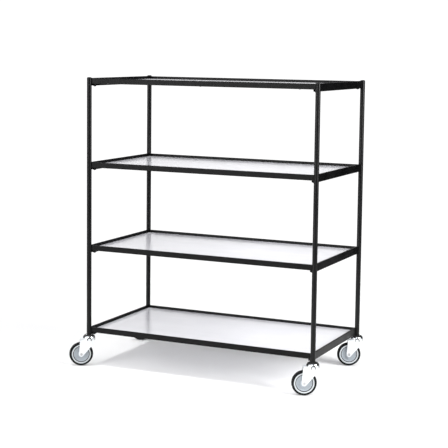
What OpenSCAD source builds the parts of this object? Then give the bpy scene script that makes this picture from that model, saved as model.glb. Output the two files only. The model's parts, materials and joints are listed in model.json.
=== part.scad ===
// Linen trolley: four round posts, four framed shelves and four swivel castors.
// Millimetres, +Z up, front towards -Y. The origin is on the floor, midway between the four posts.

/* [Frame] */
// Distance between the post axes along the length
post_pitch_x = 1260; // [900:10:1400]
// Distance between the post axes across the depth
post_pitch_y = 650; // [450:10:750]
// Outer diameter of the post tube
post_d = 25; // [22:0.5:26]
// Wall thickness of the post tube
post_wall = 1.5; // [1:0.25:2]
// Height that a post stands above the top of the highest front rail
post_rise = 2; // [1:0.5:6]
// Height of the domed cap on a post
cap_dome_h = 3.5; // [2:0.5:5]

/* [Shelves] */
// Number of shelves
shelf_count = 4; // [2:1:4]
// Gap from the posts' lower ends up to the underside of the lowest front rail
rail_gap = 13; // [13:1:40]
// Height from one shelf to the next
shelf_pitch = 435; // [250:5:480]
// Height of a front or rear rail
front_rail_h = 28; // [25:1:32]
// Width of the ledge under the panel on a front or rear rail
ledge_w = 22; // [20:1:30]
// How far a side rail hangs below the front rail
side_drop = 10; // [6:1:11]
// How far a side rail's top stands above the front rail's top
side_rise = 1.5; // [0:0.5:2]
// Width of a side rail's gutter
gutter_w = 25; // [24:1:34]
// Width of the lip round a shelf
lip_w = 8; // [7:1:12]
// Thickness of the folded sheet
sheet_t = 2; // [1.5:0.5:2]
// Thickness of a shelf panel
panel_t = 12; // [10:1:14]

/* [Castors] */
// Wheel diameter over the tyre
wheel_d = 125; // [100:1:125]
// Width of the tyre
tyre_w = 30; // [26:1:32]
// Overall height of a castor, from the floor to the post's lower end
castor_h = 164; // [160:1:170]
// Distance from the swivel axis back to the axle
trail = 41; // [38:1:44]
// Turn of each castor about its swivel axis: front left, front right, rear left, rear right
castor_turns = [34, 26, 28, 24];
// Diameter of the swivel head
head_d = 60; // [54:1:60]
// Thickness of the fork's plate
fork_t = 3; // [2.5:0.5:4]

/* [Hidden] */
$fn = 64;
CORNERS = [["fl", -1, -1, 0], ["fr", 1, -1, 1], ["rl", -1, 1, 2], ["rr", 1, 1, 3]];
SHELVES = [1 : shelf_count];

half_x = post_pitch_x / 2;
half_y = post_pitch_y / 2;
post_r = post_d / 2;
bore_r = post_r - post_wall;
first_rail_z = castor_h + rail_gap;
top_rail_z = first_rail_z + (shelf_count - 1) * shelf_pitch;
post_top = top_rail_z + front_rail_h + post_rise;
// Outer faces of the rails, inward from the plane through the post axes
front_inset = 2;
side_inset = 3;
// Ends of the rails: the front rail reaches past the lip of the side rail, which butts against it
front_end = half_x - side_inset - lip_w + 2;
side_end = half_y - front_inset - lip_w;
// Outer radius of the bends in the folded sheet
fold_r = 2.5;
// The panel drops in between the lips and lies on the ledges
panel_top = sheet_t + panel_t;
panel_gap = 1;
// Depth of a post cap's plug
plug_h = 14;
// Panel screws: shank, head, length in the board, distance behind the rail's face, places along it
screw_r = 2;
screw_head_r = 4;
screw_head_h = 2;
screw_bite = 9;
screw_inset = 16;
screw_xs = [-0.42, 0, 0.42] * post_pitch_x;
// Corner bolts: shank, mushroom head, distances inward from the post's axis
bolt_shank_r = 3;
bolt_head_r = 8.5;
bolt_head_h = 5;
bolt_in_x = 19;
bolt_in_y = 23;

// Castor, in its own frame: swivel axis at the origin, wheel trailing towards -X
wheel_r = wheel_d / 2;
rim_r = wheel_r - 12;
crown_top = castor_h - 17;
crown_z = crown_top - fork_t;
// Inner and outer faces of the fork's legs, and the outer radius of the bends between legs and crown
leg_in = 17.5;
leg_out = leg_in + fork_t;
bend_r = 7;
head_r = head_d / 2;
head_gap = 0.3;
// Round drum pressed into the fork's crown, under the swivel head
drum_r = head_r - 0.5;
drum_h = 11;
drum_edge_r = 2.5;
pin_r = 6;
pin_clearance = 0.05;
rivet_r = 10;
rivet_h = 5;
bolt_r = 5;
sleeve_h = 42;
cone_h = 9;
ball_d = 5;
ball_pcd_r = 20;
ball_count = 18;
ball_lift = 0.02;
axle_r = 4;
axle_fit = 0.05;
hub_half = 17;
bearing_r = 11;
boss_r = 16;
axle_head_r = 7;
axle_head_h = 3;
nut_r = 7.5;
nut_h = 6.5;

function shelf_z(k) = first_rail_z + (k - 1) * shelf_pitch;
function at_post(c) = [c[1] * half_x, c[2] * half_y, 0];

module to_castor(c) {
    translate(at_post(c))
        rotate([0, 0, castor_turns[c[3]]])
            children();
}

// Turns a solid made about +Z so that it lies along the axle
module to_axle() {
    translate([-trail, 0, wheel_r])
        rotate([90, 0, 0])
            children();
}

// ---- Posts ----

module post(c) {
    color("#1d1d1f")
        translate(at_post(c) + [0, 0, castor_h])
            difference() {
                cylinder(r = post_r, h = post_top - castor_h);
                translate([0, 0, -1])
                    cylinder(r = bore_r, h = post_top - castor_h + 2);
            }
}

// Domed plastic plug: the dome covers the tube's edge and the shank sits in the bore
module post_cap() {
    dome_r = (post_r * post_r + cap_dome_h * cap_dome_h) / (2 * cap_dome_h);
    intersection() {
        cylinder(r = post_r, h = cap_dome_h);
        translate([0, 0, cap_dome_h - dome_r + 0.8])
            sphere(r = dome_r, $fn = 96);
    }
    translate([0, 0, -plug_h])
        cylinder(r = bore_r, h = plug_h);
}

module post_caps() {
    color("#141415")
        for (c = CORNERS)
            translate(at_post(c) + [0, 0, post_top])
                post_cap();
}

// ---- Shelf frames ----

// Outline with a flat top and round upper corners, standing on the X axis
module arch(half_w, top, corner_r) {
    translate([-half_w, 0])
        square([2 * half_w, top - corner_r]);
    translate([-half_w + corner_r, 0])
        square([2 * (half_w - corner_r), top]);
    for (side = [-1, 1])
        translate([side * (half_w - corner_r), top - corner_r])
            circle(r = corner_r);
}

// Section of a folded channel, open downwards, with its outer face at x = 0
module channel(width, height) {
    translate([width / 2, 0])
        difference() {
            arch(width / 2, height, fold_r);
            arch(width / 2 - sheet_t, height - sheet_t, fold_r - sheet_t);
        }
}

// Section of a front rail: x is inward from the outer face, y is up from the underside
module front_section() {
    channel(lip_w, front_rail_h);
}

// Section of a side rail: a lip like the front rail's over a gutter, whose inner edge carries
// the panel
module side_section() {
    difference() {
        channel(lip_w, front_rail_h + side_rise);
        square([lip_w, sheet_t]);
    }
    translate([0, sheet_t])
        mirror([0, 1])
            channel(gutter_w, side_drop + sheet_t);
}

// Front rail along X, its outer face towards -Y
module front_rail_body() {
    ledge_half = half_x - side_inset - gutter_w;
    difference() {
        union() {
            translate([-front_end, -half_y + front_inset, 0])
                rotate([90, 0, 90])
                    linear_extrude(height = 2 * front_end)
                        front_section();
            translate([-ledge_half, -half_y + front_inset + lip_w - sheet_t, 0])
                cube([2 * ledge_half, ledge_w - lip_w + sheet_t, sheet_t]);
        }
        for (side = [-1, 1])
            translate([side * half_x, -half_y, -1])
                cylinder(r = post_r, h = front_rail_h + 2);
        for (x = screw_xs)
            translate([x, -half_y + front_inset + screw_inset, -1])
                cylinder(r = screw_r, h = sheet_t + 2);
    }
}

// Left rail along Y, its outer face towards -X
module side_rail_body() {
    top = front_rail_h + side_rise;
    difference() {
        translate([-half_x + side_inset, side_end, 0])
            rotate([90, 0, 0])
                linear_extrude(height = 2 * side_end)
                    side_section();
        for (end = [-1, 1]) {
            translate([-half_x, end * half_y, -side_drop - 1])
                cylinder(r = post_r, h = top + side_drop + 2);
            translate([-half_x + bolt_in_x, end * (half_y - bolt_in_y), -side_drop - 1])
                cylinder(r = bolt_shank_r, h = sheet_t + 2);
        }
    }
}

module front_rail(k) {
    color("#232325")
        translate([0, 0, shelf_z(k)])
            front_rail_body();
}

module rear_rail(k) {
    color("#232325")
        translate([0, 0, shelf_z(k)])
            mirror([0, 1, 0])
                front_rail_body();
}

module left_rail(k) {
    color("#1b1b1d")
        translate([0, 0, shelf_z(k)])
            side_rail_body();
}

module right_rail(k) {
    color("#1b1b1d")
        translate([0, 0, shelf_z(k)])
            mirror([1, 0, 0])
                side_rail_body();
}

module shelf_panel(k) {
    edge_x = half_x - side_inset - lip_w - panel_gap;
    edge_y = half_y - front_inset - lip_w - panel_gap;
    color("#ededf2")
        translate([0, 0, shelf_z(k) + sheet_t])
            difference() {
                translate([-edge_x, -edge_y, 0])
                    cube([2 * edge_x, 2 * edge_y, panel_t]);
                for (x = screw_xs)
                    for (side = [-1, 1])
                        translate([x, side * (half_y - front_inset - screw_inset), -1])
                            cylinder(r = screw_r, h = screw_bite + 1);
                for (c = CORNERS)
                    translate([c[1] * (half_x - bolt_in_x), c[2] * (half_y - bolt_in_y), -1])
                        cylinder(r = bolt_shank_r, h = screw_bite + 1);
            }
}

// Pan-head screws up through the ledges into the boards
module panel_screws() {
    color("#3a3a3d")
        for (k = SHELVES)
            for (x = screw_xs)
                for (side = [-1, 1])
                    translate([x, side * (half_y - front_inset - screw_inset), shelf_z(k)]) {
                        cylinder(r = screw_r, h = sheet_t + screw_bite);
                        translate([0, 0, -screw_head_h])
                            cylinder(r = screw_head_r, h = screw_head_h);
                    }
}

// Mushroom head under a shank, its underside downwards and the shank's foot at z = 0
module mushroom_bolt(shank_h) {
    ball_r = (bolt_head_r * bolt_head_r + bolt_head_h * bolt_head_h) / (2 * bolt_head_h);
    cylinder(r = bolt_shank_r, h = shank_h);
    translate([0, 0, -bolt_head_h])
        intersection() {
            cylinder(r = bolt_head_r, h = bolt_head_h);
            translate([0, 0, ball_r])
                sphere(r = ball_r);
        }
}

// Bolts up through the gutters into the corners of the boards
module corner_bolts() {
    color("#1f1f21")
        for (k = SHELVES)
            for (c = CORNERS)
                translate([
                    c[1] * (half_x - bolt_in_x),
                    c[2] * (half_y - bolt_in_y),
                    shelf_z(k) - side_drop
                ])
                    mushroom_bolt(side_drop + sheet_t + screw_bite);
}

// ---- Castor fittings that stay with the frame ----

// King pin, expander bolt and cone in one piece
module castor_stem(c) {
    color("#b9bcc0")
        to_castor(c) {
            translate([0, 0, crown_z - head_gap - rivet_h])
                cylinder(r = rivet_r, h = rivet_h);
            translate([0, 0, crown_z - head_gap])
                cylinder(r = pin_r, h = castor_h - crown_z + head_gap);
            translate([0, 0, castor_h])
                cylinder(r = bolt_r, h = sleeve_h);
            translate([0, 0, castor_h + sleeve_h])
                cylinder(r1 = bolt_r, r2 = bore_r - 1, h = cone_h);
        }
}

// Sleeves that the cones spread inside the posts
module stem_sleeves() {
    color("#2a2a2c")
        for (c = CORNERS)
            translate(at_post(c) + [0, 0, castor_h])
                difference() {
                    cylinder(r = bore_r, h = sleeve_h);
                    translate([0, 0, -1])
                        cylinder(r = bolt_r, h = sleeve_h + 2);
                }
}

// Domed cup over the balls, open downwards
module swivel_head(c) {
    head_z = crown_top + head_gap;
    head_h = castor_h - head_z;
    dome_r = min(head_r - post_r - 2, head_h - 1);
    shoulder_r = head_r - dome_r;
    skirt_h = head_h - dome_r;
    color("#d9dcdf")
        to_castor(c)
            translate([0, 0, head_z])
                rotate_extrude($fn = 96)
                    difference() {
                        union() {
                            square([shoulder_r, head_h]);
                            square([head_r, skirt_h]);
                            intersection() {
                                square([head_r, head_h]);
                                translate([shoulder_r, skirt_h])
                                    circle(r = dome_r);
                            }
                        }
                        square([pin_r, head_h]);
                        translate([ball_pcd_r - ball_d / 2 - 1, 0])
                            square([ball_d + 2, ball_d]);
                    }
}

// ---- Swivelling part of a castor ----

module ball_ring(c) {
    color("#c9ccd0")
        to_castor(c)
            for (i = [0 : ball_count - 1])
                rotate([0, 0, i * 360 / ball_count])
                    translate([ball_pcd_r, 0, crown_top + ball_d / 2 + ball_lift])
                        sphere(r = ball_d / 2 - ball_lift, $fn = 24);
}

// Side view of a fork leg: broad under the crown, tapering to a round eye at the axle
module leg_outline() {
    eye_r = 12.5;
    lower_angle = 54;
    lower_dir = [sin(lower_angle), -cos(lower_angle)];
    eye = [-trail, wheel_r];
    translate(eye)
        circle(r = eye_r);
    polygon([
        eye + eye_r * lower_dir,
        [10, 103],
        [14, 109],
        [27, crown_top - 12],
        [28, crown_top],
        [-46, crown_top],
        [-48, crown_top - 14],
        eye + [-eye_r, 4],
        eye + [-eye_r, 0]
    ]);
}

// Bent plate: the legs' outline seen along the axle, cut from a channel with round bends
module bent_plate() {
    length = 200;
    intersection() {
        translate([-length / 2, 0, 0])
            rotate([90, 0, 90])
                linear_extrude(height = length)
                    difference() {
                        arch(leg_out, crown_top, bend_r);
                        arch(leg_in, crown_z, bend_r - fork_t);
                    }
        rotate([90, 0, 0])
            linear_extrude(height = 2 * leg_out + 2, center = true)
                leg_outline();
    }
}

module fork_drum() {
    translate([0, 0, crown_top - drum_h])
        rotate_extrude($fn = 96)
            difference() {
                intersection() {
                    arch(drum_r, drum_h, drum_edge_r);
                    square([drum_r, drum_h]);
                }
                square([drum_r - fork_t, drum_h - fork_t]);
            }
}

module fork(c) {
    color("#eceff1")
        to_castor(c)
            difference() {
                union() {
                    bent_plate();
                    fork_drum();
                }
                translate([0, 0, crown_z - 1])
                    cylinder(r = pin_r + pin_clearance, h = fork_t + 2);
                to_axle()
                    cylinder(r = axle_r, h = 4 * leg_out, center = true);
            }
}

// Axle bolt with a low round head to the front and a nut to the rear
module axle(c) {
    color("#c4c8cc")
        to_castor(c)
            to_axle() {
                translate([0, 0, -leg_out - nut_h - 1])
                    cylinder(r = axle_r, h = 2 * leg_out + nut_h + 1);
                translate([0, 0, leg_out])
                    cylinder(r = axle_head_r, h = axle_head_h);
                translate([0, 0, -leg_out - nut_h])
                    cylinder(r = nut_r, h = nut_h, $fn = 6);
            }
}

// ---- Wheel ----

module wheel_bearing(c) {
    color("#8e9296")
        to_castor(c)
            to_axle()
                difference() {
                    cylinder(r = bearing_r, h = 2 * hub_half, center = true);
                    cylinder(r = axle_r + axle_fit, h = 2 * hub_half + 2, center = true);
                }
}

// Half section of the wheel centre: boss, thin web, ring wall, groove and rim
web_half = 6;
groove_out = rim_r - 7.5;
groove_in = groove_out - 3.5;
wall_in = groove_in - 2.5;
wall_half = 10.5;
rim_half = 13;
centre_side = [
    [bearing_r, hub_half],
    [boss_r - 1, hub_half],
    [boss_r, hub_half - 1],
    [boss_r + 1.5, web_half],
    [wall_in - 1, web_half],
    [wall_in, wall_half],
    [groove_in, wall_half],
    [groove_in, web_half],
    [groove_out, web_half],
    [groove_out, rim_half - 1],
    [groove_out + 1, rim_half],
    [rim_r - 1, rim_half],
    [rim_r, rim_half - 1]
];
function other_side(points) = [for (i = [len(points) - 1 : -1 : 0]) [points[i][0], -points[i][1]]];
// Radial ribs between the boss and the ring wall
rib_count = 36;
rib_t = 1.4;
rib_half = 8.5;

module wheel_centre(c) {
    color("#c3ccd6")
        to_castor(c)
            to_axle() {
                rotate_extrude($fn = 96)
                    polygon(concat(centre_side, other_side(centre_side)));
                for (i = [0 : rib_count - 1])
                    rotate([0, 0, i * 360 / rib_count])
                        translate([boss_r - 1, -rib_t / 2, -rib_half])
                            cube([wall_in - boss_r + 2, rib_t, 2 * rib_half]);
            }
}

// Tyre with a crowned tread and bulging walls
module tyre(c) {
    crown_arc = 24;
    wall_arc = 17.5;
    color("#161617")
        to_castor(c)
            to_axle()
                rotate_extrude($fn = 96)
                    intersection() {
                        translate([rim_r, -tyre_w / 2])
                            square([wheel_r - rim_r, tyre_w]);
                        translate([wheel_r - crown_arc, 0])
                            circle(r = crown_arc);
                        translate([rim_r + 2.5, 0])
                            scale(tyre_w / 2 / wall_arc * 1.08)
                                circle(r = wall_arc);
                    }
}

// ---- Nodes ----

for (c = CORNERS) {
    post(c);
    castor_stem(c);
    swivel_head(c);
    ball_ring(c);
    fork(c);
    axle(c);
    wheel_bearing(c);
    wheel_centre(c);
    tyre(c);
}
for (k = SHELVES) {
    front_rail(k);
    rear_rail(k);
    left_rail(k);
    right_rail(k);
    shelf_panel(k);
}
post_caps();
panel_screws();
corner_bolts();
stem_sleeves();
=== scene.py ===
"""Looks of a linen trolley: black powder-coated frame, white laminate shelves, zinc-plated castors."""

import json
import math

import bmesh
import bpy
from mathutils import Matrix, Vector


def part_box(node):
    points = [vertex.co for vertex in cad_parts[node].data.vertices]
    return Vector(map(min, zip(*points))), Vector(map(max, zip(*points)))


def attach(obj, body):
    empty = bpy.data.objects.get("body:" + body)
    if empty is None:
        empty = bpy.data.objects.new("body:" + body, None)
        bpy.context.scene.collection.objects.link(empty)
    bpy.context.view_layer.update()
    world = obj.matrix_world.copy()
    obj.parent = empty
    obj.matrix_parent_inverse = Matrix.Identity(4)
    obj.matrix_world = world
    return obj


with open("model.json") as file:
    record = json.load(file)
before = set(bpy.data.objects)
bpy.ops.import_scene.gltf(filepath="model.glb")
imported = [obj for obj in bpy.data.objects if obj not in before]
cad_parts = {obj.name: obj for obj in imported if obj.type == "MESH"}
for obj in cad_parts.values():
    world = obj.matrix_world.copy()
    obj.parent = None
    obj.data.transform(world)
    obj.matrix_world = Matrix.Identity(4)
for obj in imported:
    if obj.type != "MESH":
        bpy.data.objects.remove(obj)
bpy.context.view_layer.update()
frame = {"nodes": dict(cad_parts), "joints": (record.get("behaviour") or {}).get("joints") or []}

MM = 0.001
CORNERS = ("fl", "fr", "rl", "rr")
PANEL = "shelf_panel_"
SHELVES = sorted(int(name.removeprefix(PANEL)) for name in frame["nodes"] if name.startswith(PANEL))
JOINTS = {joint["name"]: joint for joint in frame["joints"]}

# Radii of the band painted near-black as shade in the groove between a wheel's web and its rim, a little
# wider than the groove itself, and half the width of a change of colour there
GROOVE_IN = 39.1 * MM
GROOVE_OUT = 43.6 * MM
COLOUR_EDGE = 0.2 * MM
# Radii between which a tyre's wall turns into its tread
WALL_END = 59.5 * MM
TREAD_START = 61.5 * MM
# Spacing of the fine rings on a wheel's web and on a tyre's walls
WEB_RINGS = 1.3 * MM
TYRE_RINGS = 1.6 * MM

# Points round every tube and bead
TUBE_SIDES = 10

# Weld beads: radius, how far the bead's axis stands out of the corner it fills, how far it stops short
# of the rail's edges, distance from one ring to the next, rings in a ripple, height of a ripple; then
# the share of the radius at an end, and the share gained with each ring from there
BEAD_R = 1.6 * MM
BEAD_OUT = 0.4 * MM
BEAD_INSET = 1 * MM
BEAD_STEP = 0.5 * MM
RIPPLE_STEPS = 4
RIPPLE_R = 0.22 * MM
BEAD_END = 0.45
BEAD_GROWTH = 0.12

# Dark shell over the swivel head, standing in for the dark reflections round the zinc head; heights from
# the floor: deep edge ahead of the castor, edge over the fork's crown, top of the side windows, foot of
# the shoulder, rim round the post; then wall, clearance, bend, half angle and squareness of a window, and
# the points round the cover and up its side
COVER_LOW = 136.6 * MM
COVER_REAR = 147.7 * MM
COVER_SILL = 161 * MM
COVER_SHOULDER = 148.5 * MM
COVER_TOP = 165.2 * MM
COVER_T = 1.2 * MM
COVER_GAP = 0.4 * MM
COVER_BEND = 17.1 * MM
COVER_WINDOW = math.radians(61)
WINDOW_POWER = 4
COVER_COLUMNS = 144
COVER_ROWS = 14

# Wire clips, black arches standing in for a dark arch-shaped reflection on the front of the swivel head:
# wire radius, half width, height of the feet, length of the legs, rise of the arch and the stretches that
# make the arch
CLIP_R = 1.9 * MM
CLIP_HALF = 10 * MM
CLIP_FOOT = 138 * MM
CLIP_LEG = 5 * MM
CLIP_RISE = 7.5 * MM
CLIP_STEPS = 14


# ---- Places read from the frame ----

def castor_matrix(corner):
    """A castor's own frame: origin on the floor under the pivot, +X ahead, +Y along the axle."""
    pivot = Vector(JOINTS["swivel_" + corner]["pos_m"])
    axle = axle_axis(corner)
    ahead = axle.cross(Vector((0, 0, 1)))
    turn = Matrix((ahead, axle, (0, 0, 1))).transposed().to_4x4()
    return Matrix.Translation((pivot.x, pivot.y, 0)) @ turn


def axle_centre(corner):
    """Middle of a wheel's axle."""
    return Vector(JOINTS["roll_" + corner]["pos_m"])


def axle_axis(corner):
    """Direction of a wheel's axle, of length 1."""
    return Vector(JOINTS["roll_" + corner]["axis"]).normalized()


def post_axis(corner):
    """X, Y and radius of a post."""
    low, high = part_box("post_" + corner)
    centre = (low + high) / 2
    return centre.x, centre.y, (high.x - low.x) / 2


# ---- Shader building blocks ----

# The Mix node's colour sockets, which share their names with its number and vector sockets
MIX_FIRST = 6
MIX_SECOND = 7
MIX_RESULT = 2


def add_node(tree, kind, inputs, **settings):
    """A node with its settings and inputs; an input that is a socket is linked, another is a value."""
    made = tree.nodes.new("ShaderNode" + kind)
    for name, value in settings.items():
        setattr(made, name, value)
    for key, value in inputs.items():
        if isinstance(value, bpy.types.NodeSocket):
            tree.links.new(value, made.inputs[key])
        else:
            made.inputs[key].default_value = value
    return made


class Surface:
    """One material under construction: a Principled shader and short calls for the nodes that feed it."""

    def __init__(self, name, **constants):
        self.material = bpy.data.materials.new(name)
        self.material.use_nodes = True
        self.tree = self.material.node_tree
        self.shader = self.tree.nodes["Principled BSDF"]
        self.place = self.node("TexCoord", {}).outputs["Object"]
        for socket, value in constants.items():
            self.shader.inputs[socket.replace("_", " ")].default_value = value

    def node(self, kind, inputs, **settings):
        return add_node(self.tree, kind, inputs, **settings)

    def noise(self, size, detail=2.0, stretch=(1, 1, 1)):
        """Noise from 0 to 1, its grains about size metres across and longer where stretch is small."""
        scale = [share / size for share in stretch]
        scaled = self.node("VectorMath", {0: self.place, 1: scale}, operation="MULTIPLY")
        grains = self.node("TexNoise", {"Vector": scaled.outputs[0], "Scale": 1.0, "Detail": detail})
        return grains.outputs["Fac"]

    def cells(self, size):
        """Random grey per cell, from 0 to 1."""
        scaled = self.node("VectorMath", {0: self.place, "Scale": 1 / size}, operation="SCALE")
        tint = self.node("TexVoronoi", {"Vector": scaled.outputs[0], "Scale": 1.0}).outputs["Color"]
        return self.node("SeparateColor", {"Color": tint}).outputs["Red"]

    def spread(self, value, low, high, start=0.3, stop=0.7):
        """Maps value from start..stop to low..high."""
        return self.node("MapRange", {"Value": value, "From Min": start, "From Max": stop,
                                      "To Min": low, "To Max": high}).outputs["Result"]

    def maths(self, operation, first, second=0.0):
        return self.node("Math", {0: first, 1: second}, operation=operation).outputs[0]

    def blend_colour(self, factor, first, second):
        """From the first colour to the second; each is a socket or red, green and blue."""
        inputs = {"Factor": factor}
        for key, value in ((MIX_FIRST, first), (MIX_SECOND, second)):
            inputs[key] = value if isinstance(value, bpy.types.NodeSocket) else (*value, 1)
        return self.node("Mix", inputs, data_type="RGBA").outputs[MIX_RESULT]

    def distance_from_axis(self, point, axis):
        """Distance in metres from the line through point along axis."""
        offset = self.node("VectorMath", {0: self.place, 1: list(point)}, operation="SUBTRACT").outputs[0]
        across = self.node("VectorMath", {0: offset, 1: list(axis)}, operation="CROSS_PRODUCT").outputs[0]
        return self.node("VectorMath", {0: across}, operation="LENGTH").outputs["Value"]

    def bump(self, height, depth, under=None):
        """A bump whose full height is depth metres."""
        inputs = {"Height": height, "Strength": 1.0, "Distance": depth}
        if under is not None:
            inputs["Normal"] = under
        return self.node("Bump", inputs).outputs["Normal"]

    def feed(self, **sockets):
        for socket, source in sockets.items():
            self.tree.links.new(source, self.shader.inputs[socket.replace("_", " ")])
        return self.material


# ---- Materials ----

def powder_coat(name, dark, light, smooth, rough, shine):
    """Satin black powder coat: orange-peel grain, cloudy gloss and faint handling marks."""
    s = Surface(name, Specular_IOR_Level=shine)
    cloud = s.noise(0.11, detail=3)
    marks = s.noise(0.012, detail=4, stretch=(1, 1, 0.15))
    grain = s.noise(0.0011, detail=2)
    speck = s.noise(0.0004, detail=1)
    colour = s.blend_colour(s.spread(cloud, 0, 1), dark, light)
    gloss = s.maths("ADD", s.spread(cloud, smooth, rough), s.spread(marks, -0.03, 0.05))
    peel = s.bump(grain, 0.00006)
    return s.feed(Base_Color=colour, Roughness=gloss, Normal=s.bump(speck, 0.00001, under=peel))


def cap_plastic(name):
    """Moulded black polyethylene with a fine spark-eroded grain."""
    s = Surface(name, Specular_IOR_Level=0.25)
    grain = s.noise(0.0006, detail=2)
    colour = s.blend_colour(s.spread(s.noise(0.006), 0, 1), (0.011, 0.011, 0.012), (0.019, 0.019, 0.020))
    return s.feed(Base_Color=colour, Roughness=s.spread(grain, 0.42, 0.55), Normal=s.bump(grain, 0.00005))


def laminate():
    """White semi-gloss melamine: a pearl grain, and a faint cloud in colour and gloss."""
    s = Surface("laminate", IOR=1.5)
    cloud = s.noise(0.22, detail=3)
    pearl = s.noise(0.0016, detail=2)
    wipe = s.noise(0.05, detail=4, stretch=(0.2, 1, 1))
    colour = s.blend_colour(s.spread(cloud, 0, 1), (0.70, 0.70, 0.735), (0.73, 0.73, 0.76))
    gloss = s.maths("ADD", s.spread(cloud, 0.17, 0.21), s.spread(wipe, -0.02, 0.03))
    return s.feed(Base_Color=colour, Roughness=gloss, Normal=s.bump(pearl, 0.00002))


def zinc(name, bright, dull, smooth, rough, metallic=1.0):
    """Zinc plate, blue passivated: faint crystal cells, rolling lines and a cloudy gloss."""
    s = Surface(name, Metallic=metallic)
    cells = s.cells(0.004)
    cloud = s.noise(0.02, detail=4)
    lines = s.noise(0.0012, detail=2, stretch=(1, 1, 0.06))
    tone = s.maths("ADD", s.spread(cloud, 0, 0.75), s.spread(cells, 0, 0.25, 0, 1))
    gloss = s.maths("ADD", s.spread(cloud, smooth, rough), s.spread(lines, -0.03, 0.04))
    grain = s.bump(lines, 0.00001)
    return s.feed(Base_Color=s.blend_colour(tone, dull, bright), Roughness=gloss, Normal=grain)


def turned_steel(name, colour, shade, roughness):
    """Small turned or ground steel pieces."""
    s = Surface(name, Metallic=1.0)
    tone = s.noise(0.003, detail=3)
    fine = s.noise(0.0005, detail=2)
    gloss = s.spread(fine, roughness - 0.06, roughness + 0.06)
    return s.feed(Base_Color=s.blend_colour(s.spread(tone, 0, 1), shade, colour), Roughness=gloss,
                  Normal=s.bump(fine, 0.00001))


def sleeve_rubber():
    """Matt black rubber of the expander sleeves."""
    s = Surface("sleeve_rubber", IOR=1.5)
    grain = s.noise(0.0008, detail=2)
    colour = s.blend_colour(s.spread(grain, 0, 1), (0.018, 0.018, 0.018), (0.03, 0.03, 0.03))
    return s.feed(Base_Color=colour, Roughness=s.spread(grain, 0.7, 0.85), Normal=s.bump(grain, 0.00008))


def wheel_plastic(corner):
    """Moulded wheel centre: pale rim; groove painted near-black as shade; blue-grey web, painted darker
    than the rim partly as shade of the recess; fine rings and moulding grain.
    """
    s = Surface("wheel_plastic_" + corner, IOR=1.5)
    radius = s.distance_from_axis(axle_centre(corner), axle_axis(corner))
    rim = s.spread(radius, 0, 1, GROOVE_OUT - COLOUR_EDGE, GROOVE_OUT + COLOUR_EDGE)
    groove = s.spread(radius, 0, 1, GROOVE_IN - COLOUR_EDGE, GROOVE_IN + COLOUR_EDGE)
    cloud = s.noise(0.008, detail=3)
    blotch = s.spread(cloud, 0, 1)
    # The web is bluer than the rim, and is painted darker than it partly as shade of the recessed web
    web = s.blend_colour(blotch, (0.38, 0.415, 0.45), (0.445, 0.485, 0.52))
    # Near-black painted shade for the groove, spreading a little onto the web and the rim beside it
    groove_shade = s.blend_colour(blotch, (0.010, 0.012, 0.014), (0.026, 0.028, 0.03))
    pale = s.blend_colour(blotch, (0.50, 0.53, 0.55), (0.57, 0.60, 0.62))
    rings = s.maths("SINE", s.maths("MULTIPLY", radius, 2 * math.pi / WEB_RINGS))
    grain = s.bump(s.noise(0.0007, detail=2), 0.00003)
    inner = s.blend_colour(groove, web, groove_shade)
    return s.feed(Base_Color=s.blend_colour(rim, inner, pale), Roughness=s.spread(cloud, 0.32, 0.44),
                  Normal=s.bump(rings, 0.00002, under=grain))


def tyre_rubber(corner):
    """Black rubber: mould rings on the walls, a dull and faintly dusty tread."""
    s = Surface("tyre_rubber_" + corner, Specular_IOR_Level=0.14)
    radius = s.distance_from_axis(axle_centre(corner), axle_axis(corner))
    tread = s.spread(radius, 0, 1, WALL_END, TREAD_START)
    dust = s.maths("MULTIPLY", tread, s.spread(s.noise(0.006, detail=4), 0.1, 0.6))
    colour = s.blend_colour(dust, (0.004, 0.0044, 0.0048), (0.022, 0.0215, 0.021))
    rings = s.maths("SINE", s.maths("MULTIPLY", radius, 2 * math.pi / TYRE_RINGS))
    grain = s.bump(s.noise(0.0009, detail=3), 0.00008)
    return s.feed(Base_Color=colour, Roughness=s.spread(tread, 0.46, 0.72, 0, 1),
                  Normal=s.bump(rings, 0.00006, under=grain))


# ---- CAD nodes ----

def dress(node_name, material):
    """Puts the material on a CAD node."""
    slots = frame["nodes"][node_name].data.materials
    slots.clear()
    slots.append(material)


def finish_frame():
    """Materials and weld beads of posts, rails and boards."""
    post_coat = powder_coat("post_coat", (0.003, 0.003, 0.0032), (0.005, 0.005, 0.0053),
                            smooth=0.30, rough=0.38, shine=0.17)
    rail_coat = powder_coat("rail_coat", (0.002, 0.002, 0.0022), (0.004, 0.004, 0.0042),
                            smooth=0.34, rough=0.42, shine=0.09)
    board = laminate()
    for corner in CORNERS:
        dress("post_" + corner, post_coat)
    dress("post_caps", cap_plastic("cap_plastic"))
    for k in SHELVES:
        for side in ("front", "rear", "left", "right"):
            dress(f"{side}_rail_{k}", rail_coat)
        dress(f"{PANEL}{k}", board)
        weld_shelf(k, rail_coat)
    dress("panel_screws", turned_steel("screw_zinc", (0.30, 0.30, 0.31), (0.22, 0.22, 0.23), 0.34))
    dress("corner_bolts", powder_coat("bolt_black", (0.005, 0.005, 0.0053), (0.012, 0.012, 0.0125),
                                      smooth=0.36, rough=0.46, shine=0.12))
    dress("stem_sleeves", sleeve_rubber())


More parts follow.
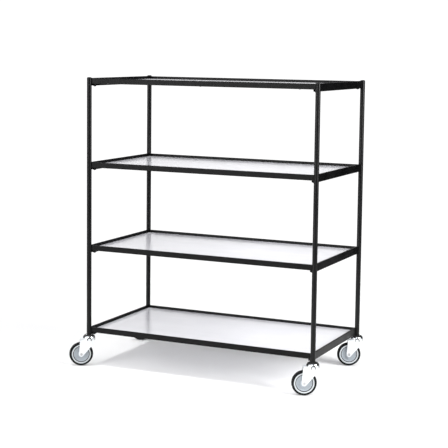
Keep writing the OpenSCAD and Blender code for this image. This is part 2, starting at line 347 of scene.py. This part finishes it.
def finish_castors():
    """Materials of the four castors, and the black covers and clips that stand in for dark reflections on
    their zinc swivel heads.
    """
    fork_zinc = zinc("fork_zinc", (0.90, 0.92, 0.93), (0.78, 0.81, 0.83), 0.30, 0.42, metallic=0.85)
    head_zinc = zinc("head_zinc", (0.86, 0.88, 0.90), (0.74, 0.77, 0.80), 0.10, 0.18)
    stem_zinc = turned_steel("stem_zinc", (0.66, 0.67, 0.69), (0.55, 0.56, 0.58), 0.30)
    axle_zinc = turned_steel("axle_zinc", (0.60, 0.60, 0.61), (0.45, 0.45, 0.46), 0.28)
    ball_steel = turned_steel("ball_steel", (0.72, 0.72, 0.74), (0.64, 0.64, 0.66), 0.12)
    bush_steel = turned_steel("bush_steel", (0.50, 0.50, 0.52), (0.42, 0.42, 0.44), 0.26)
    # Black plastic for the covers and clips, which stand in for dark reflections on the zinc swivel heads
    reflection_black = cap_plastic("dark_reflection_plastic")
    for corner in CORNERS:
        dark_reflection_cover(corner, reflection_black)
        dark_reflection_clip(corner, reflection_black)
        dress("swivel_head_" + corner, head_zinc)
        dress("castor_stem_" + corner, stem_zinc)
        dress("ball_ring_" + corner, ball_steel)
        dress("fork_" + corner, fork_zinc)
        dress("axle_" + corner, axle_zinc)
        dress("wheel_bearing_" + corner, bush_steel)
        dress("wheel_centre_" + corner, wheel_plastic(corner))
        dress("tyre_" + corner, tyre_rubber(corner))


# ---- Pieces added to the CAD nodes ----

def make_piece(name, build, material, body):
    """A smooth mesh piece that the function build fills; it rides on a body."""
    mesh = bpy.data.meshes.new(name)
    shape = bmesh.new()
    build(shape)
    bmesh.ops.recalc_face_normals(shape, faces=shape.faces)
    for face in shape.faces:
        face.smooth = True
    shape.to_mesh(mesh)
    shape.free()
    piece = bpy.data.objects.new(name, mesh)
    bpy.context.scene.collection.objects.link(piece)
    mesh.materials.append(material)
    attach(piece, body)


def add_tube(shape, path, radii):
    """A closed tube along the path, with its own radius at each point."""
    turns = [2 * math.pi * k / TUBE_SIDES for k in range(TUBE_SIDES)]
    rings = []
    for i, (point, radius) in enumerate(zip(path, radii)):
        along = (path[min(i + 1, len(path) - 1)] - path[max(i - 1, 0)]).normalized()
        across = along.orthogonal() if i == 0 else across - along * along.dot(across)
        across.normalize()
        beside = along.cross(across)
        rings.append([shape.verts.new(point + radius * (across * math.cos(a) + beside * math.sin(a)))
                      for a in turns])
    for near, far in zip(rings, rings[1:]):
        for k in range(TUBE_SIDES):
            shape.faces.new((near[k], near[k - 1], far[k - 1], far[k]))
    shape.faces.new(rings[0])
    shape.faces.new(reversed(rings[-1]))


def add_bead(shape, x, y, low, high):
    """An upright, rippled weld bead with thin ends."""
    steps = int((high - low) / BEAD_STEP)
    path = [Vector((x, y, low + (high - low) * i / steps)) for i in range(steps + 1)]
    radii = []
    for i in range(steps + 1):
        taper = min(1.0, BEAD_END + min(i, steps - i) * BEAD_GROWTH)
        radii.append(taper * (BEAD_R + RIPPLE_R * math.sin(2 * math.pi * i / RIPPLE_STEPS)))
    add_tube(shape, path, radii)


def weld_shelf(k, material):
    """Beads where the outer faces of a shelf's rails meet the posts."""
    def build(shape):
        for corner in CORNERS:
            x, y, radius = post_axis(corner)
            inwards_x, inwards_y = -math.copysign(1, x), -math.copysign(1, y)
            low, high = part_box(f"{'front' if y < 0 else 'rear'}_rail_{k}")
            face_y = low.y if y < 0 else high.y
            reach = math.sqrt(radius ** 2 - (face_y - y) ** 2)
            add_bead(shape, x + inwards_x * (reach + BEAD_OUT), face_y - inwards_y * BEAD_OUT,
                     low.z + BEAD_INSET, high.z - BEAD_INSET)
            low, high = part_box(f"{'left' if x < 0 else 'right'}_rail_{k}")
            face_x = low.x if x < 0 else high.x
            reach = math.sqrt(radius ** 2 - (face_x - x) ** 2)
            add_bead(shape, face_x - inwards_x * BEAD_OUT, y + inwards_y * (reach + BEAD_OUT),
                     low.z + BEAD_INSET, high.z - BEAD_INSET)
    make_piece(f"weld_beads_{k}", build, material, "frame")


def cover_bottom(turn):
    """Lower edge of the dark shell over the swivel head: deep ahead of the castor, above the fork's crown
    behind, and an arched window on each side."""
    from_side = abs(abs(turn) - math.pi / 2)
    share = min(1.0, from_side / COVER_WINDOW)
    arch = COVER_LOW + (COVER_SILL - COVER_LOW) * (1 - share ** WINDOW_POWER) ** (1 / WINDOW_POWER)
    return max(arch, COVER_REAR) if math.cos(turn) < 0 else arch


def cover_radius(height, radius):
    """Radius of the cover at a height: an upright wall under a quarter-round shoulder."""
    rise = max(0.0, height - COVER_SHOULDER)
    return radius - COVER_BEND + math.sqrt(max(0.0, COVER_BEND ** 2 - rise ** 2))


def dark_reflection_cover(corner, material):
    """Thin black shell over the swivel head, standing in for the dark reflections round the zinc head's
    edges.
    """
    place = castor_matrix(corner)
    low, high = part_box("swivel_head_" + corner)
    outer = (high.x - low.x) / 2 + COVER_GAP + COVER_T

    def build(shape):
        grids = []
        for wall, radius in ((0, outer), (COVER_T, outer - COVER_T)):
            grid = []
            for i in range(COVER_COLUMNS):
                turn = 2 * math.pi * i / COVER_COLUMNS - math.pi
                bottom = cover_bottom(turn)
                column = []
                for j in range(COVER_ROWS + 1):
                    share = math.sin(math.pi / 2 * j / COVER_ROWS)
                    height = bottom + (COVER_TOP - wall * share - bottom) * share
                    around = cover_radius(height + wall * share, radius)
                    spot = Vector((around * math.cos(turn), around * math.sin(turn), height))
                    column.append(shape.verts.new(place @ spot))
                grid.append(column)
            grids.append(grid)
        for i in range(COVER_COLUMNS):
            for j in range(COVER_ROWS):
                for grid in grids:
                    shape.faces.new((grid[i - 1][j], grid[i][j], grid[i][j + 1], grid[i - 1][j + 1]))
            for j in (0, COVER_ROWS):
                shape.faces.new((grids[0][i - 1][j], grids[0][i][j], grids[1][i][j], grids[1][i - 1][j]))
    make_piece("dark_reflection_cover_" + corner, build, material, "castor_" + corner)


def dark_reflection_clip(corner, material):
    """A bent black wire in the cover's window on the castor's -Y side, towards the trolley's front,
    standing in for a dark arch-shaped reflection on the swivel head.
    """
    place = castor_matrix(corner)
    low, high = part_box("swivel_head_" + corner)
    around = (high.x - low.x) / 2 + CLIP_R + COVER_GAP
    leg_depth = math.sqrt(around ** 2 - CLIP_HALF ** 2)

    def build(shape):
        path = []
        for i in range(CLIP_STEPS + 1):
            turn = math.pi * i / CLIP_STEPS
            across = -CLIP_HALF * math.cos(turn)
            height = CLIP_FOOT + CLIP_LEG + CLIP_RISE * math.sin(turn)
            path.append(place @ Vector((across, -math.sqrt(around ** 2 - across ** 2), height)))
        ends = []
        for end in (-1, 1):
            foot = place @ Vector((end * CLIP_HALF, -leg_depth, CLIP_FOOT))
            toe = place @ Vector((end * CLIP_HALF, CLIP_R - leg_depth, CLIP_FOOT - CLIP_R))
            ends.append([toe, foot])
        path = ends[0] + path + ends[1][::-1]
        add_tube(shape, path, [CLIP_R] * len(path))
    make_piece("dark_reflection_clip_" + corner, build, material, "castor_" + corner)


# ---- Room, light and camera ----

# Floor: radius in metres, sides, colour, and how much lighter its lightest clouds are
FLOOR_R = 2.6
FLOOR_SIDES = 128
FLOOR_WHITE = (0.93, 0.93, 0.93)
FLOOR_CLOUD = 1.02

# Soft sources on the studio's walls: direction, half angle of the even part, half angle of the edge
# (both in degrees), radiance
WALL_LIGHTS = (
    ((-0.42, 0.90, 0.46), 10, 30, 0.9),
    ((-0.42, 0.90, 0.02), 4, 12, 0.6),
    ((-0.80, 0.60, 0.18), 8, 25, 2.1),
    ((-0.56, -0.83, 0.12), 6, 15, 9.0),
    ((-0.30, -0.95, 0.18), 8, 20, 5.5),
    ((0.0, -1.0, 0.70), 10, 30, 2.4),
    ((-0.95, -0.10, 0.25), 20, 60, 0.7),
)
WALL_TINT = (0.995, 0.995, 1.0)

# The ceiling's glow, and the sines of the elevations where it starts and where it is full
CEILING = 0.2
CEILING_START = 0.05
CEILING_FULL = 0.6
# Strength of the white that the camera sees behind the trolley
BACKDROP = 1.1
# Direction of the overhead light, place of the softbox and the point it is aimed at
OVERHEAD = (-0.13, -0.13, 1)
SOFTBOX_PLACE = (3.4, -0.5, 1.97)
SOFTBOX_AIM = (0, 0, 0.95)

# Camera: focal length in mm, vertical shift as a share of the picture's width, place in metres, and
# angles in degrees
LENS_MM = 101.1
LENS_SHIFT = -0.109
CAMERA_PLACE = (2.7555, -5.9248, 1.6807)
CAMERA_TURN = 25.01
CAMERA_DIP = 5.84
CAMERA_ROLL = 0.68


def make_floor():
    """A round white floor under the trolley."""
    mesh = bpy.data.meshes.new("floor")
    shape = bmesh.new()
    bmesh.ops.create_circle(shape, cap_ends=True, segments=FLOOR_SIDES, radius=FLOOR_R)
    shape.to_mesh(mesh)
    shape.free()
    floor = bpy.data.objects.new("floor", mesh)
    bpy.context.scene.collection.objects.link(floor)
    s = Surface("studio_floor", Roughness=0.9, Specular_IOR_Level=0.2)
    cloud = s.noise(0.5, detail=3)
    tone = s.blend_colour(s.spread(cloud, 0, 1), FLOOR_WHITE, [c * FLOOR_CLOUD for c in FLOOR_WHITE])
    mesh.materials.append(s.feed(Base_Color=tone))


def make_light(name, kind, place, aim, **settings):
    """A lamp at place that points at aim."""
    light = bpy.data.lights.new(name, kind)
    for key, value in settings.items():
        setattr(light, key, value)
    lamp = bpy.data.objects.new(name, light)
    bpy.context.scene.collection.objects.link(lamp)
    lamp.location = place
    lamp.rotation_euler = (Vector(aim) - Vector(place)).to_track_quat("-Z", "Y").to_euler()


def make_room():
    """White walls and ceiling as light; what the camera sees behind the trolley is plain white."""
    world = bpy.data.worlds.new("studio")
    bpy.context.scene.world = world
    world.use_nodes = True
    tree = world.node_tree
    towards = add_node(tree, "TexCoord", {}).outputs["Generated"]
    height = add_node(tree, "SeparateXYZ", {"Vector": towards}).outputs["Z"]
    rise = {"Value": height, "From Min": CEILING_START, "From Max": CEILING_FULL,
            "To Min": 0.0, "To Max": CEILING}
    glow = add_node(tree, "MapRange", rise).outputs["Result"]
    for direction, inner, outer, radiance in WALL_LIGHTS:
        centre = list(Vector(direction).normalized())
        nearness = add_node(tree, "VectorMath", {0: towards, 1: centre}, operation="DOT_PRODUCT")
        reach = {"Value": nearness.outputs["Value"], "From Min": math.cos(math.radians(outer)),
                 "From Max": math.cos(math.radians(inner)), "To Min": 0.0, "To Max": radiance}
        patch = add_node(tree, "MapRange", reach, interpolation_type="SMOOTHSTEP").outputs["Result"]
        glow = add_node(tree, "Math", {0: glow, 1: patch}, operation="ADD").outputs[0]
    room = tree.nodes["Background"]
    room.inputs["Color"].default_value = (*WALL_TINT, 1)
    tree.links.new(glow, room.inputs["Strength"])
    backdrop = add_node(tree, "Background", {"Color": (1, 1, 1, 1), "Strength": BACKDROP})
    seen = add_node(tree, "LightPath", {}).outputs["Is Camera Ray"]
    either = add_node(tree, "MixShader", {0: seen, 1: room.outputs[0], 2: backdrop.outputs[0]})
    tree.links.new(either.outputs[0], tree.nodes["World Output"].inputs["Surface"])


def light_studio():
    """A soft overhead light, a softbox at the right and the lit walls."""
    make_light("overhead_key", "SUN", OVERHEAD, (0, 0, 0), energy=1.1, angle=math.radians(12))
    make_light("right_softbox", "AREA", SOFTBOX_PLACE, SOFTBOX_AIM, energy=167, shape="RECTANGLE",
               size=1.6, size_y=2.25)
    make_room()


def make_camera():
    """The photo's view: turned to the left, tipped down and slightly rolled."""
    lens = bpy.data.cameras.new("camera")
    lens.lens = LENS_MM
    lens.shift_y = LENS_SHIFT
    camera = bpy.data.objects.new("camera", lens)
    bpy.context.scene.collection.objects.link(camera)
    turn = Matrix.Rotation(math.radians(CAMERA_TURN), 4, "Z")
    dip = Matrix.Rotation(math.radians(90 - CAMERA_DIP), 4, "X")
    roll = Matrix.Rotation(math.radians(CAMERA_ROLL), 4, "Z")
    camera.matrix_world = Matrix.Translation(CAMERA_PLACE) @ turn @ dip @ roll
    bpy.context.scene.camera = camera


finish_frame()
finish_castors()
make_floor()
light_studio()
make_camera()
bpy.context.scene.view_settings.view_transform = "Standard"
